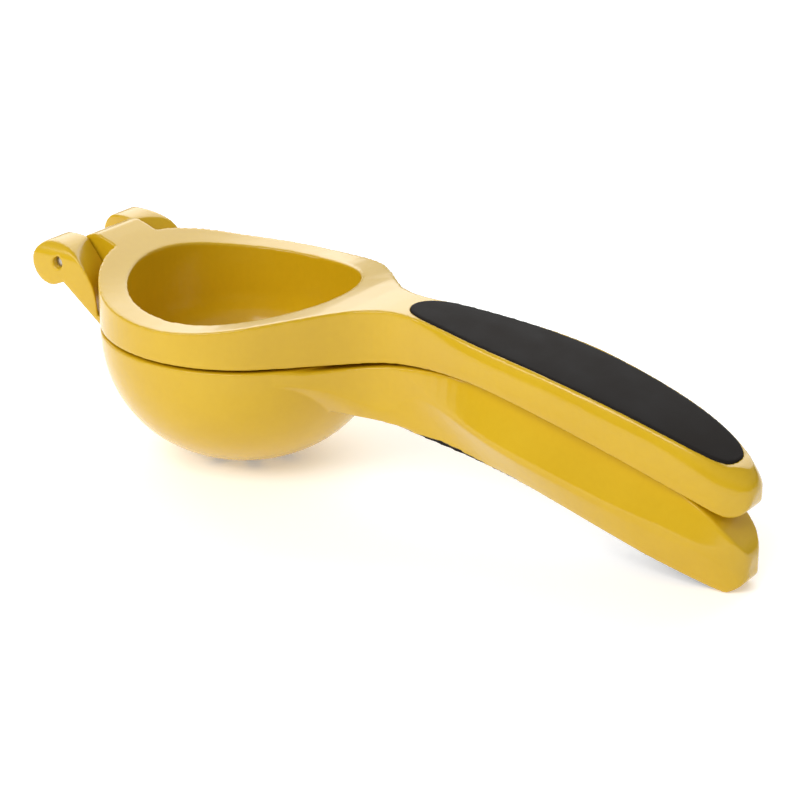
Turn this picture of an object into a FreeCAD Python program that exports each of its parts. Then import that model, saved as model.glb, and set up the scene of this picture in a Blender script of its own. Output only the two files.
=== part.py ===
import FreeCAD, Part
import math
import os
from FreeCAD import Vector

# Hand-held citrus press: a bowl with a handle, a press arm that nests in it, and one hinge pin.
# Frame, in millimetres: origin under the middle of the bowl, on the surface the press rests on.
# +X runs from the bowl to the ends of the handles, +Y across the handles, +Z up.

# Heights above the resting surface
GAP_Z = 38.2            # underside of the press flange when the press is closed
RIM_GAP = 0.8           # from the bowl's rim up to the flange
RIM_Z = GAP_Z - RIM_GAP

# Bowl
BOWL_R = 40.0
BOWL_WALL = 3.0
BOWL_POWER = 2.16       # the bowl's section is a superellipse: 2 is an ellipse, more is squarer
FOOT_R = 9.0            # flat foot under the bowl
SLOT_COUNT = 8
SLOT_IN, SLOT_OUT, SLOT_W = 5.0, 15.0, 3.2

# Press flange, cup and dome
FLANGE_R = 40.0
FLANGE_BACK = 39.9      # the flange's back is dressed flat where the tongue leaves it
MOUTH_R = 32.0
DOME_R = 33.5           # outside of the dome where it leaves the flange
DOME_WALL = 3.0
DOME_BOTTOM = 9.6       # lowest point of the dome above the resting surface

# Hinge
PIN_X, PIN_Z = -49.9, GAP_Z + 12.2
PIN_R = 1.7
PIN_BORE_R = 1.76       # running bore in the tongue
PIN_HALF = 19.6         # the pin's ends sit back from the ears' faces
TONGUE_HALF = 8.8
TONGUE_GAP = 0.5
EAR_OUT = 21.0
KNUCKLE_R = 7.0
KNUCKLE_GAP = 0.9

# Handles
TIP_X = 159.5
HANDLE_GAP = 0.6        # from the upper handle's underside to the lower handle
GRIP_DEPTH = 3.0
GRIP_PROUD = 0.8        # how far the lower grip stands out of the handle's underside

FAR = 90.0


def spline(points, start=None, end=None):
    """Smooth edge through the points, with optional end directions."""
    curve = Part.BSplineCurve()
    if start is None:
        curve.interpolate(points)
    else:
        curve.interpolate(Points=points, InitialTangent=start, FinalTangent=end)
    return curve.toShape()


def line(a, b):
    return Part.LineSegment(a, b).toShape()


def arc(a, mid, b):
    return Part.Arc(a, mid, b).toShape()


def side(x, z):
    """Point of a side outline, with its height given from the flange's underside."""
    return Vector(x, -FAR, GAP_Z + z)


def side_prism(edges):
    """Solid that a side outline sweeps across the whole width."""
    return Part.Face(Part.Wire(edges)).extrude(Vector(0, 2 * FAR, 0))


def plan_prism(edges):
    """Solid that a plan outline sweeps over the whole height."""
    return Part.Face(Part.Wire(edges)).extrude(Vector(0, 0, 2 * FAR))


def mirrored(shape):
    """The same shape on the other side of the symmetry plane."""
    return shape.mirror(Vector(0, 0, 0), Vector(0, 1, 0))


def revolved(edges):
    """Turn a closed outline in the XZ plane round the bowl's axis."""
    return Part.Face(Part.Wire(edges)).revolve(Vector(0, 0, 0), Vector(0, 0, 1), 360)


def superellipse(radius, top, bottom, power, flat):
    """Points of a bowl section, from the flat foot's edge out and up to the rim."""
    points = []
    for i in range(13):
        angle = math.radians(90 * i / 12)
        r = radius * math.sin(angle) ** (2 / power)
        z = top - (top - bottom) * math.cos(angle) ** (2 / power)
        if r > flat * 1.15:
            points.append(Vector(r, 0, z))
    return [Vector(flat, 0, bottom)] + points


def bowl_solid(radius, top, bottom, power, flat, rise=0.0):
    """Solid of revolution under a superellipse section, with a straight collar above it."""
    points = superellipse(radius, top, bottom, power, flat)
    lid = top + rise
    edges = [line(Vector(0, 0, bottom), points[0]), spline(points)]
    if rise:
        edges.append(line(points[-1], Vector(radius, 0, lid)))
    axis_top, axis_bottom = Vector(0, 0, lid), Vector(0, 0, bottom)
    edges += [line(Vector(radius, 0, lid), axis_top), line(axis_top, axis_bottom)]
    return revolved(edges)


# ---- outlines shared by the two arms ----

def handle_half_width():
    """Half widths of a handle from the flange's side, through the neck, to the rounded tip."""
    return [Vector(x, y, 0) for x, y in (
        (34.7, 21.9), (40.0, 16.3), (46.0, 11.2), (54.0, 8.1), (64.0, 8.9), (78.0, 11.9), (92.0, 13.7),
        (106.0, 14.1), (122.0, 13.4), (136.0, 12.0), (146.0, 10.2), (152.5, 8.2), (157.6, 4.7), (TIP_X, 0.0))]


def arm_plan(radius):
    """Plan of a round head with its neck and handle, as one smooth outline."""
    leave = math.radians(45)
    start = Vector(radius * math.cos(leave), radius * math.sin(leave), 0)
    upper = [start] + handle_half_width()
    edge = spline(upper, Vector(1, -1, 0).multiply(40), Vector(0, -1, 0).multiply(10))
    back = arc(Vector(start.x, -start.y, 0), Vector(-radius, 0, 0), start)
    return [edge, mirrored(edge), back]


UPPER_UNDERSIDE = ((153.5, -17.6), (143.0, -12.7), (121.0, -5.0), (98.0, 0.9), (83.0, 3.2), (68.0, 2.8),
                   (54.0, 1.2), (43.0, 0.0))
TOP_LINE = ((-45.2, 18.2), (-36.4, 15.2), (-25.7, 11.5), (-12.0, 9.6), (0.0, 9.1), (12.0, 9.9),
            (28.9, 12.7), (44.0, 15.0), (60.0, 15.7), (78.0, 14.2), (100.0, 11.4), (118.0, 7.7),
            (134.0, 3.2), (147.0, -1.6), (153.0, -4.4))


def press_side(lift=0.0):
    """Side outline of the press arm: saddle-shaped top, knuckle at the hinge, rounded tip."""
    top = spline([side(x, z + lift) for x, z in TOP_LINE])
    head, heel = TOP_LINE[0], TOP_LINE[-1]
    tip_top = side(heel[0], heel[1] + lift)
    tip_mid, tip_low = side(159.8, -9.6), side(159.0, -13.4)
    under = [side(x, z) for x, z in UPPER_UNDERSIDE]
    centre = (head[0], 9.7)
    reach = head[1] - centre[1]

    def rear(degrees):
        angle = math.radians(degrees)
        return side(centre[0] + reach * math.cos(angle), centre[1] + reach * math.sin(angle))

    low = 207.4
    pin = (PIN_X, PIN_Z - GAP_Z)
    bottom = side(pin[0], pin[1] - KNUCKLE_R)
    heel_low, heel_high = side(-FLANGE_BACK, 0.0), side(-FLANGE_BACK, bottom.z - GAP_Z)
    turn = math.radians(252)
    knuckle = side(pin[0] + KNUCKLE_R * math.cos(turn), pin[1] + KNUCKLE_R * math.sin(turn))
    edges = [top, arc(tip_top, side(157.8, -6.2), tip_mid), line(tip_mid, tip_low),
             arc(tip_low, side(157.2, -16.6), under[0]), spline(under),
             line(under[-1], heel_low), line(heel_low, heel_high), line(heel_high, bottom),
             arc(bottom, knuckle, rear(low)),
             arc(rear(low), rear(150), side(head[0], head[1] + lift))]
    return edges


def leaf_plan(half_widths):
    """Plan of a grip: a long leaf through the half widths, closed at its two ends."""
    edge = spline([Vector(x, y, 0) for x, y in half_widths])
    return [edge, mirrored(edge)]


UPPER_LEAF = ((56.4, 0.0), (56.8, 1.7), (57.9, 3.7), (60.0, 5.5), (64.0, 7.2), (70.5, 8.6), (78.0, 10.0),
              (91.0, 11.6), (104.0, 12.2), (118.0, 11.8), (132.0, 10.6), (142.0, 9.0), (148.0, 7.3),
              (151.5, 5.3), (153.1, 2.9), (153.6, 0.0))
LOWER_LEAF = ((46.5, 0.0), (46.9, 1.6), (48.6, 3.0), (53.0, 4.5), (60.0, 5.6), (76.0, 7.0), (92.0, 7.9),
              (110.0, 8.4), (128.0, 8.1), (142.0, 7.0), (149.5, 5.2), (152.6, 2.8), (153.4, 0.0))


# ---- press arm ----

def press_blank():
    """Head, tongue and upper handle before the cup and the grip's pocket are cut."""
    tongue = Part.makeBox(20, 2 * TONGUE_HALF, 2 * FAR, Vector(-58, -TONGUE_HALF, 0))
    plan = plan_prism(arm_plan(FLANGE_R)).fuse(tongue).removeSplitter()
    return plan.common(side_prism(press_side()))


def press_cup():
    """Hollow of the cup, straight at the mouth and round below."""
    return bowl_solid(MOUTH_R, GAP_Z - 2.0, DOME_BOTTOM + DOME_WALL, 2.2, 5.0, rise=30.0)


def upper_grip_zone():
    """Space of the upper grip, from the pocket's floor to the handle's top."""
    top = [(x, z) for x, z in TOP_LINE if x > 40] + [(156.5, -5.9)]
    floor = [(x, z - GRIP_DEPTH) for x, z in top]
    roof = [(x, z + 1.5) for x, z in top]
    a = spline([side(x, z) for x, z in floor])
    b = spline([side(x, z) for x, z in reversed(roof)])
    ends = [line(side(*floor[-1]), side(*roof[-1])), line(side(*roof[0]), side(*floor[0]))]
    slab = side_prism([a, ends[0], b, ends[1]])
    return slab.common(plan_prism(leaf_plan(UPPER_LEAF)))


def press_arm_and_grip():
    """The press arm casting and the grip let into its handle."""
    blank = press_blank()
    grip = blank.common(upper_grip_zone())
    dome = bowl_solid(DOME_R, GAP_Z, DOME_BOTTOM, 2.1, 6.0)
    body = blank.fuse(dome).cut(press_cup())
    bore = Part.makeCylinder(PIN_BORE_R, 60, Vector(PIN_X, -30, PIN_Z), Vector(0, 1, 0))
    body = body.cut(bore).cut(upper_grip_zone())
    return body, grip


# ---- bowl arm ----

def bowl_side_lines():
    """Top and bottom of the lower handle in side view."""
    top = [side(x, z - HANDLE_GAP) for x, z in UPPER_UNDERSIDE if x > 60]
    top += [side(52.0, 0.0), side(44.0, -1.1), side(30.0, -RIM_GAP)]
    low = [side(x, z) for x, z in (
        (30.0, -15.8), (38.0, -16.0), (50.0, -16.4), (60.0, -17.1), (76.0, -18.4), (90.0, -20.4),
        (104.0, -23.5), (120.0, -27.8), (135.0, -32.2), (147.0, -36.0), (154.5, -GAP_Z))]
    return top, low


def lower_handle():
    """Lower handle, as deep as a hand needs, with its flanks leaning in below a ridge."""
    top, low = bowl_side_lines()
    end_top, end_low = side(159.6, -27.0), side(159.0, -32.5)
    edges = [spline(top), line(top[-1], low[0]), spline(low),
             arc(low[-1], side(157.9, -36.6), end_low), line(end_low, end_top),
             arc(end_top, side(157.4, -20.6), top[0])]
    plan = plan_prism(arm_plan(BOWL_R)).common(Part.makeBox(140, 80, 2 * FAR, Vector(30, -40, 0)))
    body = plan.common(side_prism(edges))
    for flank in (flank_wedge(), mirrored(flank_wedge())):
        body = body.cut(flank)
    return body


def flank_wedge():
    """Waste outside the flank that leans in from the ridge to the handle's underside."""
    ridge, foot = [], []
    for x, ridge_y, ridge_z, foot_y, foot_z in (
            (27.0, 31.0, -3.0, 9.4, -17.6), (36.0, 20.8, -3.6, 8.4, -16.6), (44.0, 12.9, -4.2, 6.8, -16.4),
            (54.0, 8.6, -5.0, 5.6, -16.8), (64.0, 9.2, -6.2, 6.2, -17.6), (78.0, 12.1, -8.9, 7.4, -18.8),
            (92.0, 13.9, -12.0, 8.6, -20.9), (106.0, 14.3, -15.0, 9.4, -24.1),
            (122.0, 13.6, -19.0, 9.7, -28.5), (137.0, 12.1, -22.6, 9.3, -33.0),
            (150.0, 9.6, -26.6, 8.2, -37.0), (162.0, 8.6, -30.0, 7.0, -41.0)):
        dy, dz = ridge_y - foot_y, ridge_z - foot_z
        ridge.append(Vector(x, ridge_y + 0.5 * dy, GAP_Z + ridge_z + 0.5 * dz))
        foot.append(Vector(x, foot_y - 0.3 * dy, GAP_Z + foot_z - 0.3 * dz))
    return Part.makeRuledSurface(spline(ridge), spline(foot)).extrude(Vector(0, 30, -12))


def ear_side():
    """Side outline of an ear: round lobe at the back, arched top, straight brace down to the bowl."""
    lobe = (-52.9, 11.5, 6.3)

    def at(degrees):
        angle = math.radians(degrees)
        return side(lobe[0] + lobe[2] * math.cos(angle), lobe[1] + lobe[2] * math.sin(angle))

    crown = spline([at(115), side(-52.0, 17.5), side(-47.5, 16.9), side(-43.5, 15.2), side(-40.0, 12.4),
                    side(-36.0, 7.0), side(-33.0, -4.0)])
    return [crown, line(side(-33.0, -4.0), side(-35.4, -2.9)), line(side(-35.4, -2.9), side(-48.1, 6.8)),
            line(side(-48.1, 6.8), at(282)), arc(at(282), at(190), at(115))]


def flare():
    """Space behind the flange: the ears' fronts follow it round, leaning back as they rise."""
    front = spline([Vector(r, 0, GAP_Z + z) for r, z in (
        (41.4, -RIM_GAP), (41.8, 4.0), (42.6, 7.4), (44.3, 10.8), (46.4, 13.6), (49.5, 17.5))])
    axis_top, axis_low = Vector(0, 0, GAP_Z + 17.5), Vector(0, 0, GAP_Z - RIM_GAP)
    outer_top, outer_low = Vector(49.5, 0, axis_top.z), Vector(41.4, 0, axis_low.z)
    return revolved([front, line(outer_top, axis_top), line(axis_top, axis_low), line(axis_low, outer_low)])


def ears_and_web():
    """The two ears that hold the pin, and the web between them that carries them on the bowl."""
    block = side_prism(ear_side()).common(Part.makeBox(40, 2 * EAR_OUT, 90, Vector(-65, -EAR_OUT, 0)))
    half = TONGUE_HALF + TONGUE_GAP
    ears = block.cut(Part.makeBox(60, 2 * half, 90, Vector(-80, -half, 0)))
    web_top = GAP_Z + 4.3
    web = block.common(Part.makeBox(30, 2 * half, web_top, Vector(-65, -half, 0)))
    web = web.cut(Part.makeCylinder(KNUCKLE_R + KNUCKLE_GAP, 60, Vector(PIN_X, -30, PIN_Z), Vector(0, 1, 0)))
    return ears.fuse(web).cut(flare())


def bowl_arm_and_grip():
    """The bowl casting, and the grip let into the underside of its handle."""
    handle, ears = lower_handle(), ears_and_web()
    body = bowl_solid(BOWL_R, RIM_Z, 0.0, BOWL_POWER, FOOT_R).fuse(handle).fuse(ears).removeSplitter()
    inner = bowl_solid(BOWL_R - BOWL_WALL, RIM_Z - 0.01, BOWL_WALL, BOWL_POWER, FOOT_R, rise=20.0)
    grip = lower_grip_solid()
    body = body.cut(inner).cut(grip)
    for i in range(SLOT_COUNT):
        body = body.cut(drain_slot(360 * i / SLOT_COUNT))
    body = body.cut(Part.makeCylinder(PIN_R, 60, Vector(PIN_X, -30, PIN_Z), Vector(0, 1, 0)))
    return body, grip


def drain_slot(degrees):
    """One radial slot with round ends through the bowl's floor."""
    width = SLOT_W / 2
    slot = Part.makeBox(SLOT_OUT - SLOT_IN, SLOT_W, 12, Vector(SLOT_IN, -width, -1))
    for x in (SLOT_IN, SLOT_OUT):
        slot = slot.fuse(Part.makeCylinder(width, 12, Vector(x, 0, -1)))
    slot.rotate(Vector(0, 0, 0), Vector(0, 0, 1), degrees)
    return slot


def lower_grip_solid():
    """The lower grip: it fills its pocket and stands a little proud, but for the end that meets the floor."""
    low = [p for p in bowl_side_lines()[1] if p.x > 37]
    under = [Vector(p.x, p.y, p.z - GRIP_PROUD * min(1.0, (low[-1].x - p.x) / 20)) for p in low]
    roof = [Vector(p.x, p.y, p.z + GRIP_DEPTH) for p in low]
    outline = [spline(under), line(under[-1], roof[-1]), spline(roof[::-1]), line(roof[0], under[0])]
    return side_prism(outline).common(plan_prism(leaf_plan(LOWER_LEAF)))


def hinge_pin():
    """Plain steel pin, pressed into the ears, with chamfered ends."""
    pin = Part.makeCylinder(PIN_R, 2 * PIN_HALF, Vector(PIN_X, -PIN_HALF, PIN_Z), Vector(0, 1, 0))
    return pin.makeChamfer(0.4, [e for e in pin.Edges if e.Closed])


def build():
    press_arm, upper_grip = press_arm_and_grip()
    bowl_arm, lower_grip = bowl_arm_and_grip()
    return {"press_arm": press_arm, "upper_grip": upper_grip, "bowl_arm": bowl_arm,
            "lower_grip": lower_grip, "hinge_pin": hinge_pin()}


os.makedirs("parts", exist_ok=True)
for name, shape in build().items():
    shape.exportStep(f"parts/{name}.step")
    print(name, shape.isValid(), len(shape.Solids), round(shape.Volume), [round(v, 1) for v in (
        shape.BoundBox.XMin, shape.BoundBox.XMax, shape.BoundBox.YMin, shape.BoundBox.YMax,
        shape.BoundBox.ZMin, shape.BoundBox.ZMax)])
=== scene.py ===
import math

import bpy
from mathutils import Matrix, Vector


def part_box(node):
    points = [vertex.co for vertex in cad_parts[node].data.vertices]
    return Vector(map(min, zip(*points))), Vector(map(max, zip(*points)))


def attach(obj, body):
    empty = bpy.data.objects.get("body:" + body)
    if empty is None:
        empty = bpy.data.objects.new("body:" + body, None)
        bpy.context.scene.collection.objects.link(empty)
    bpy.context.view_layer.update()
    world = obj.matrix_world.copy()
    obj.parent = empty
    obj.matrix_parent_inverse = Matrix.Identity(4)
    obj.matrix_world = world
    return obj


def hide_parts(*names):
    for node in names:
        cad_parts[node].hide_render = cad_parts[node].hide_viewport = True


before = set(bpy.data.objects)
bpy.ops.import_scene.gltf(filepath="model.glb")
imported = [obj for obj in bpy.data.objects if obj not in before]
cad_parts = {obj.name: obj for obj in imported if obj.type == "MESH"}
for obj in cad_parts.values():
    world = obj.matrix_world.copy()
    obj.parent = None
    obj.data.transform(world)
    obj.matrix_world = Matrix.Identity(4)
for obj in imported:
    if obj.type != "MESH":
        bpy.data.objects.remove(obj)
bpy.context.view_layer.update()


# ---- Worktop ----
# A plain pale top under the press. It is painted board, matte, and lit a little from within so
# that it stays white and only takes the soft shadow of the bowl and of the lower handle's end.


def grained(name, colours, roughness, patch, grain, depth, stretch=(1.0, 1.0, 1.0)):
    """A material that drifts between two colours and two roughnesses, with a fine raised grain.

    The patches, the grain and its depth are sizes in metres.
    """
    grain_share = 0.3
    drift_from, drift_to = 0.45, 0.85
    material = bpy.data.materials.new(name)
    material.use_nodes = True
    tree = material.node_tree
    shader = tree.nodes["Principled BSDF"]
    place = tree.nodes.new("ShaderNodeTexCoord")
    mapping = tree.nodes.new("ShaderNodeMapping")
    mapping.inputs["Scale"].default_value = stretch
    tree.links.new(place.outputs["Object"], mapping.inputs["Vector"])
    clouds = tree.nodes.new("ShaderNodeTexNoise")
    clouds.inputs["Scale"].default_value = 1.0 / patch
    clouds.inputs["Detail"].default_value = 3.0
    pores = tree.nodes.new("ShaderNodeTexNoise")
    pores.inputs["Scale"].default_value = 1.0 / grain
    pores.inputs["Detail"].default_value = 2.0
    for noise in (clouds, pores):
        tree.links.new(mapping.outputs["Vector"], noise.inputs["Vector"])
    drift = tree.nodes.new("ShaderNodeMath")
    drift.operation = "MULTIPLY_ADD"
    drift.inputs[1].default_value = grain_share
    tree.links.new(pores.outputs["Fac"], drift.inputs[0])
    tree.links.new(clouds.outputs["Fac"], drift.inputs[2])
    ramp = tree.nodes.new("ShaderNodeValToRGB")
    for stop, position, colour in zip(ramp.color_ramp.elements, (drift_from, drift_to), colours):
        stop.position = position
        stop.color = (*colour, 1.0)
    tree.links.new(drift.outputs[0], ramp.inputs["Fac"])
    tree.links.new(ramp.outputs["Color"], shader.inputs["Base Color"])
    polish = tree.nodes.new("ShaderNodeMapRange")
    polish.inputs["From Min"].default_value = drift_from
    polish.inputs["From Max"].default_value = drift_to
    polish.inputs["To Min"].default_value = roughness[0]
    polish.inputs["To Max"].default_value = roughness[1]
    tree.links.new(drift.outputs[0], polish.inputs["Value"])
    tree.links.new(polish.outputs["Result"], shader.inputs["Roughness"])
    relief = tree.nodes.new("ShaderNodeBump")
    relief.inputs["Strength"].default_value = 0.5
    relief.inputs["Distance"].default_value = depth
    tree.links.new(pores.outputs["Fac"], relief.inputs["Height"])
    tree.links.new(relief.outputs["Normal"], shader.inputs["Normal"])
    return material, shader


bpy.ops.object.select_all(action="DESELECT")
bpy.ops.mesh.primitive_plane_add(size=6.0, location=(0.4, 0.5, 0.0))
worktop = bpy.context.object
worktop.name = "worktop"
board, board_shader = grained(
    "pale_board", colours=((0.92, 0.92, 0.92), (0.96, 0.96, 0.96)), roughness=(0.6, 0.7),
    patch=0.2, grain=0.002, depth=0.00002)
board_shader.inputs["Specular IOR Level"].default_value = 0.1
board_shader.inputs["Emission Color"].default_value = (1.0, 1.0, 1.0, 1.0)
board_shader.inputs["Emission Strength"].default_value = 0.30
worktop.data.materials.append(board)


# ---- Studio light ----
# A wide panel stands behind the press and whitens its flat tops. Two boxes at the viewer's side
# light its sides and the cup, and a white surround, dark only along the horizon, fills the rest.

studio = bpy.data.worlds.new("studio")
studio.use_nodes = True
sky = studio.node_tree
ray = sky.nodes.new("ShaderNodeTexCoord")
height = sky.nodes.new("ShaderNodeSeparateXYZ")
above = sky.nodes.new("ShaderNodeMath")
above.operation = "ABSOLUTE"
tone = sky.nodes.new("ShaderNodeValToRGB")
tone.color_ramp.elements.new(0.95)
for stop, position, grey in zip(tone.color_ramp.elements, (0.05, 0.30, 0.95), (0.12, 1.0, 0.55)):
    stop.position = position
    stop.color = (grey, grey, grey, 1.0)
sky.links.new(ray.outputs["Generated"], height.inputs[0])
sky.links.new(height.outputs["Z"], above.inputs[0])
sky.links.new(above.outputs[0], tone.inputs["Fac"])
sky.links.new(tone.outputs["Color"], sky.nodes["Background"].inputs["Color"])
sky.nodes["Background"].inputs["Strength"].default_value = 0.48
bpy.context.scene.world = studio


LIGHT_AIM = Vector((0.05, 0.0, 0.03))
LIGHT_DISTANCE = 1.5


def softbox(name, azimuth, elevation, width, height, watts):
    """A lit panel that faces the press. Azimuth 0 is the viewer's side, 90 the handles' ends."""
    turn = math.radians(azimuth)
    rise = math.radians(elevation)
    towards = Vector((math.sin(turn) * math.cos(rise), -math.cos(turn) * math.cos(rise), math.sin(rise)))
    bpy.ops.object.light_add(type="AREA", location=LIGHT_AIM + towards * LIGHT_DISTANCE)
    box = bpy.context.object
    box.name = name
    box.data.shape = "RECTANGLE"
    box.data.size = width
    box.data.size_y = height
    box.data.energy = watts
    box.rotation_euler = (-towards).to_track_quat("-Z", "Y").to_euler()


softbox("back_panel", azimuth=212, elevation=33, width=2.8, height=1.3, watts=24.0)
softbox("low_box", azimuth=-27, elevation=31, width=1.0, height=0.36, watts=5.2)
softbox("high_box", azimuth=6, elevation=44, width=1.0, height=0.8, watts=11.0)


# ---- Camera ----
# A long lens at the viewer's side of the press, a little above it, looking down at 22 degrees and
# turned 35 degrees round towards the ends of the handles.

CAMERA_PLACE = (0.41569, -0.51931, 0.28541)
CAMERA_TURN = 35.0
CAMERA_DROP = 22.25
bpy.ops.object.camera_add(location=CAMERA_PLACE)
camera = bpy.context.object
camera.name = "camera"
camera.rotation_euler = (math.radians(90.0 - CAMERA_DROP), 0.0, math.radians(CAMERA_TURN))
camera.data.sensor_width = 36.0
camera.data.lens = 115.33
camera.data.clip_end = 20.0
bpy.context.scene.camera = camera
bpy.context.scene.view_settings.view_transform = "Standard"


# ---- Bowl casting ----
# The lower arm: bowl, long handle and the two hinge ears, cast in one in aluminium and coated in
# a thick glossy yellow enamel that runs round every edge.

bpy.ops.object.select_all(action="DESELECT")
enamel, coat = grained(
    "yellow_enamel", colours=((0.60, 0.37, 0.007), (0.64, 0.405, 0.009)), roughness=(0.18, 0.24),
    patch=0.03, grain=0.0016, depth=0.000012)
coat.inputs["Specular IOR Level"].default_value = 0.42
coat.inputs["Coat Weight"].default_value = 0.25
coat.inputs["Coat Roughness"].default_value = 0.10
POCKET_PLAY = 0.00012    # between a grip and the wall of its pocket
POCKET_REACH = 0.003     # how far the pocket's cutter is stretched out of the handle
OVERLAP = 0.0001         # by which a filled-in grip enters the casting, so that the two join
ENAMELLED_FACES = 90000
EDGE_ANGLE = 50
SEAM_WIDTH = 1e-6
SLIVER_WIDTH = 5e-6
FACING = 0.7             # a face looks one way when its normal has this share of it


def casting_from(node, name):
    """A merged copy of a CAD solid, to be worked on as a piece of its own."""
    piece = bpy.data.objects.new(name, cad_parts[node].data.copy())
    bpy.context.scene.collection.objects.link(piece)
    piece.data.materials.clear()
    pick(piece)
    bpy.ops.object.mode_set(mode="EDIT")
    bpy.ops.mesh.select_all(action="SELECT")
    bpy.ops.mesh.remove_doubles(threshold=SEAM_WIDTH)
    bpy.ops.object.mode_set(mode="OBJECT")
    return piece


def pick(piece):
    """Select one piece alone, and make it the active one."""
    bpy.ops.object.select_all(action="DESELECT")
    bpy.context.view_layer.objects.active = piece
    piece.select_set(True)


def finish_with(piece, kind, **settings):
    """Add one modifier to a piece and apply it."""
    pick(piece)
    modifier = piece.modifiers.new(kind.lower(), kind)
    for key, value in settings.items():
        setattr(modifier, key, value)
    bpy.ops.object.modifier_apply(modifier=modifier.name)


def grown_copy(node, by, stretch):
    """A copy of a grip's solid, grown all round, with its open side moved by a signed height."""
    block = casting_from(node, node + "_block")
    bpy.ops.object.mode_set(mode="EDIT")
    bpy.ops.mesh.select_all(action="SELECT")
    bpy.ops.transform.shrink_fatten(value=by)
    bpy.ops.mesh.select_all(action="DESELECT")
    bpy.ops.object.mode_set(mode="OBJECT")
    up = 1 if stretch > 0 else -1
    for face in block.data.polygons:
        face.select = face.normal.z * up > FACING
    bpy.ops.object.mode_set(mode="EDIT")
    bpy.ops.transform.translate(value=(0, 0, stretch))
    bpy.ops.object.mode_set(mode="OBJECT")
    return block


def combine(piece, operation, other):
    """Join, cut or intersect a piece with another object, which is used up."""
    finish_with(piece, "BOOLEAN", operation=operation, solver="EXACT", object=other)
    bpy.data.objects.remove(other)


def enamelled(piece, body, node, grip, way):
    """Round the casting's edges as the coat does, let in the grip's pocket, and put the enamel on."""
    combine(piece, "UNION", grown_copy(grip, OVERLAP, 0.0))
    finish_with(piece, "REMESH", mode="SHARP", octree_depth=9, scale=0.9, sharpness=1.0)
    finish_with(piece, "SMOOTH", factor=0.5, iterations=10)
    finish_with(piece, "DECIMATE", ratio=ENAMELLED_FACES / len(piece.data.polygons))
    combine(piece, "DIFFERENCE", grown_copy(grip, POCKET_PLAY, way * POCKET_REACH))
    pick(piece)
    bpy.ops.object.mode_set(mode="EDIT")
    bpy.ops.mesh.select_all(action="SELECT")
    bpy.ops.mesh.remove_doubles(threshold=SLIVER_WIDTH)
    bpy.ops.mesh.dissolve_degenerate(threshold=SLIVER_WIDTH)
    bpy.ops.mesh.delete_loose()
    bpy.ops.object.mode_set(mode="OBJECT")
    bpy.ops.object.shade_smooth_by_angle(angle=math.radians(EDGE_ANGLE))
    piece.data.materials.clear()
    piece.data.materials.append(enamel)
    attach(piece, body)
    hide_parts(node)


def eased(stations, steps):
    """The stations and others between them, on a smooth curve through them."""
    rows = [stations[0]]
    for i in range(1, len(stations)):
        start, end = stations[i - 1], stations[i]
        before = stations[max(i - 2, 0)]
        after = stations[min(i + 1, len(stations) - 1)]
        span = end[0] - start[0]
        for step in range(1, steps + 1):
            t = step / steps
            row = [start[0] + span * t]
            for k in (1, 2, 3):
                leave = (end[k] - before[k]) / (end[0] - before[0]) * span
                arrive = (after[k] - start[k]) / (after[0] - start[0]) * span
                row.append((2 * t**3 - 3 * t**2 + 1) * start[k] + (t**3 - 2 * t**2 + t) * leave
                           + (3 * t**2 - 2 * t**3) * end[k] + (t**3 - t**2) * arrive)
            rows.append(row)
    return rows


def sleeve(sides, stations):
    """A closed sleeve through like sections.

    A station is an x, its middle's height, its half width and its half depth, in millimetres.
    """
    x, z, width, depth = (v / 1000 for v in stations[0])
    bpy.ops.object.select_all(action="DESELECT")
    bpy.ops.mesh.primitive_circle_add(vertices=sides, radius=1.0, fill_type="NGON", location=(x, 0, z),
                                      rotation=(0, math.pi / 2, 0))
    oval = bpy.context.object
    oval.scale = (depth, width, 1.0)
    bpy.ops.object.transform_apply(location=True, rotation=True, scale=True)
    bpy.ops.object.mode_set(mode="EDIT")
    bpy.ops.mesh.select_all(action="SELECT")
    for station in eased(stations, steps=4)[1:]:
        to_x, to_z, to_width, to_depth = (v / 1000 for v in station)
        bpy.ops.mesh.extrude_region_move(TRANSFORM_OT_translate={"value": (to_x - x, 0, to_z - z)})
        bpy.ops.transform.resize(value=(1, to_width / width, to_depth / depth),
                                 center_override=(to_x, 0, to_z))
        x, z, width, depth = to_x, to_z, to_width, to_depth
    bpy.ops.mesh.select_all(action="SELECT")
    bpy.ops.mesh.normals_make_consistent(inside=False)
    bpy.ops.object.mode_set(mode="OBJECT")
    return oval


EARS_X = -0.055
EAR_ROUNDING = 0.0055


def bar(middle, size):
    """A plain bar round the ears, to cut with."""
    bpy.ops.object.select_all(action="DESELECT")
    bpy.ops.mesh.primitive_cube_add(size=1.0, location=middle)
    block = bpy.context.object
    block.scale = size
    bpy.ops.object.transform_apply(location=True, rotation=True, scale=True)
    return block


def ear_waste():
    """What is dressed off the ears' outer top corners to round them."""
    waste = bar(middle=(EARS_X, 0.0, 0.057), size=(0.040, 0.060, 0.020))
    kept = bar(middle=(EARS_X, 0.0, 0.0405), size=(0.100, 0.04204, 0.032))
    finish_with(kept, "BEVEL", width=EAR_ROUNDING, segments=10)
    combine(waste, "DIFFERENCE", kept)
    return waste


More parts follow.
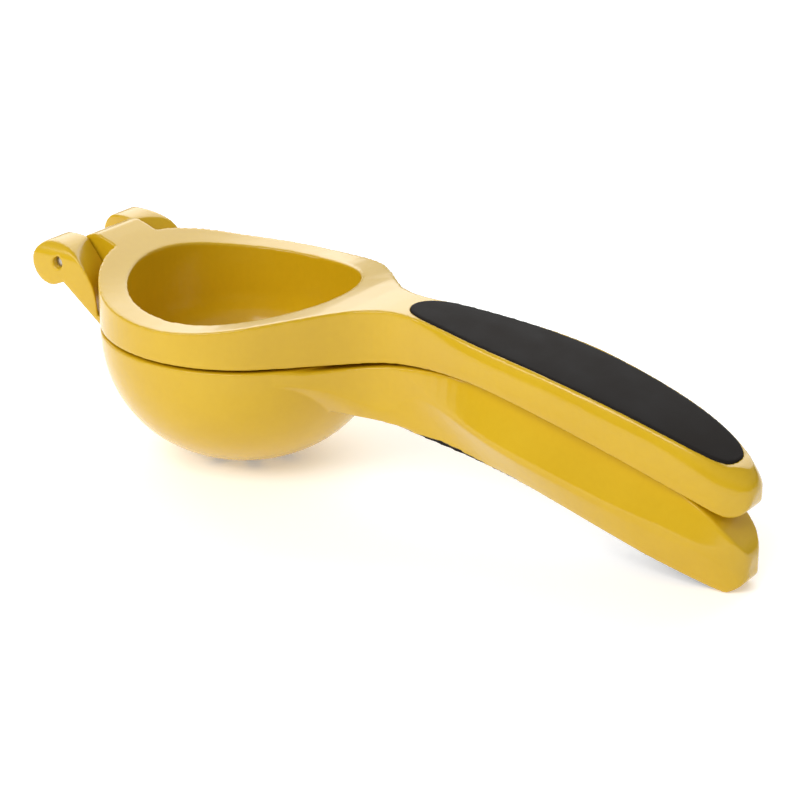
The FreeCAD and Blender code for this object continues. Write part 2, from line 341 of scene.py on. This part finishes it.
# Four corners to a section: the side corners draw the ridge along the handle's sides.
RIDGED_HANDLE = (
    (-75.0, 35.0, 140.0, 150.0), (20.0, 35.0, 62.0, 90.0), (30.0, 35.0, 41.0, 72.0), (36.0, 34.6, 24.5, 68.0),
    (44.0, 34.0, 14.2, 62.0), (54.0, 33.2, 9.2, 56.0), (64.0, 32.0, 9.5, 50.0), (78.0, 29.3, 12.3, 47.0),
    (92.0, 26.2, 14.0, 45.0), (106.0, 23.2, 14.4, 44.0), (122.0, 19.2, 13.7, 42.0), (137.0, 15.6, 12.2, 40.0),
    (146.0, 13.0, 10.4, 38.0), (152.5, 11.0, 8.6, 37.0), (157.2, 10.0, 5.9, 36.0), (160.5, 9.0, 2.6, 34.0))
# Sections so wide that only their tops and undersides meet the handle, and round its tip.
ROUND_TIP = (
    (-75.0, 60.0, 2000.0, 90.0), (145.0, 11.2, 2000.0, 12.4), (149.0, 10.0, 2000.0, 11.0),
    (152.5, 8.8, 2000.0, 9.4), (155.3, 8.0, 2000.0, 7.6), (157.4, 7.5, 2000.0, 5.7),
    (158.8, 7.2, 2000.0, 3.7), (159.5, 7.1, 2000.0, 1.8), (159.7, 7.1, 2000.0, 0.6))
bowl_casting = casting_from("bowl_arm", "bowl_casting")
combine(bowl_casting, "DIFFERENCE", ear_waste())
combine(bowl_casting, "INTERSECT", sleeve(4, RIDGED_HANDLE))
combine(bowl_casting, "INTERSECT", sleeve(4, ROUND_TIP))
enamelled(bowl_casting, "lower", "bowl_arm", "lower_grip", way=-1)


# ---- Press casting ----
# The upper arm: a saddle-topped ring with the press cup hanging under it, the tongue that the pin
# runs through, and a handle whose sides bulge and which is let in for the soft grip.

# Round sections, so that the handle's sides bulge and roll over to its tip.
BULGING_HANDLE = (
    (-75.0, 44.0, 70.0, 90.0), (36.0, 45.0, 30.0, 70.0), (42.0, 45.0, 15.3, 55.0), (46.0, 45.6, 11.3, 40.0),
    (54.0, 46.0, 8.2, 26.0), (64.0, 46.4, 9.0, 17.5), (78.0, 46.2, 12.0, 13.8), (92.0, 45.0, 13.8, 13.4),
    (106.0, 42.6, 14.2, 14.6), (122.0, 38.3, 13.5, 15.0), (136.0, 34.0, 12.1, 15.2),
    (146.0, 30.0, 10.3, 12.8), (152.5, 26.8, 8.3, 10.4), (156.4, 25.6, 5.9, 7.8), (158.6, 25.1, 4.0, 5.4),
    (159.8, 24.8, 1.8, 2.6))
press_casting = casting_from("press_arm", "press_casting")
combine(press_casting, "UNION", grown_copy("upper_grip", OVERLAP, 0.0))
combine(press_casting, "INTERSECT", sleeve(48, BULGING_HANDLE))
enamelled(press_casting, "upper", "press_arm", "upper_grip", way=1)


# ---- Soft grips ----
# Two long leaves of black rubber, moulded a little crowned and with rounded edges, and glued into
# the pockets in the handles. Their faces are matte.

rubber, rubber_shader = grained(
    "grip_rubber", colours=((0.014, 0.012, 0.011), (0.019, 0.016, 0.014)), roughness=(0.66, 0.78),
    patch=0.01, grain=0.0004, depth=0.00004)
rubber_shader.inputs["Specular IOR Level"].default_value = 0.10
GRIP_VOXEL = 0.0004
CROWN_REACH = 0.012

for node, name, body, crown in (("upper_grip", "upper_grip_pad", "upper", 0.0007),
                                ("lower_grip", "lower_grip_pad", "lower", 0.0)):
    pad = casting_from(node, name)
    finish_with(pad, "REMESH", mode="VOXEL", voxel_size=GRIP_VOXEL)
    finish_with(pad, "SMOOTH", factor=0.5, iterations=5)
    pick(pad)
    if crown:
        for vertex in pad.data.vertices:
            vertex.select = abs(vertex.co.y) < GRIP_VOXEL
        for face in pad.data.polygons:
            face.select = abs(face.center.y) < GRIP_VOXEL and face.normal.z > 0.5
        bpy.ops.object.mode_set(mode="EDIT")
        bpy.ops.transform.translate(value=(0, 0, crown), use_proportional_edit=True,
                                    proportional_edit_falloff="SPHERE", proportional_size=CROWN_REACH)
        bpy.ops.object.mode_set(mode="OBJECT")
    bpy.ops.object.shade_smooth()
    pad.data.materials.append(rubber)
    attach(pad, body)
    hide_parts(node)


# ---- Hinge pin ----
# A plain steel pin, turned with domed ends, driven through the ears so that both ends stay a little
# below the enamel. The press arm's tongue turns on it.

steel, steel_shader = grained(
    "pin_steel", colours=((0.42, 0.39, 0.36), (0.56, 0.53, 0.50)), roughness=(0.28, 0.42),
    patch=0.0008, grain=0.0002, depth=0.00001, stretch=(0.15, 1.0, 1.0))
steel_shader.inputs["Metallic"].default_value = 1.0
DOME_STEPS = ((0.0005, 0.0003), (0.0006, 0.0001))    # each end's insets: how far in, how far out
pin_low, pin_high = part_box("hinge_pin")
pin_middle = (pin_low + pin_high) / 2
pin_radius = (pin_high.z - pin_low.z) / 2
pin_length = pin_high.y - pin_low.y - 2 * sum(rise for inward, rise in DOME_STEPS)
bpy.ops.object.select_all(action="DESELECT")
bpy.ops.mesh.primitive_cylinder_add(vertices=48, radius=pin_radius, depth=pin_length,
                                    location=pin_middle, rotation=(math.pi / 2, 0, 0))
pin = bpy.context.object
pin.name = "steel_pin"
bpy.ops.object.transform_apply(location=True, rotation=True, scale=True)
bpy.ops.object.mode_set(mode="EDIT")
bpy.ops.mesh.select_mode(type="FACE")
bpy.ops.mesh.select_all(action="DESELECT")
bpy.ops.object.mode_set(mode="OBJECT")
for face in pin.data.polygons:
    face.select = abs(face.normal.y) > 0.9
bpy.ops.object.mode_set(mode="EDIT")
for inward, rise in DOME_STEPS:
    bpy.ops.mesh.inset(thickness=inward, depth=rise, use_individual=True)
bpy.ops.object.mode_set(mode="OBJECT")
pick(pin)
bpy.ops.object.shade_smooth_by_angle(angle=math.radians(40))
pin.data.materials.append(steel)
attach(pin, "lower")
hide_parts("hinge_pin")
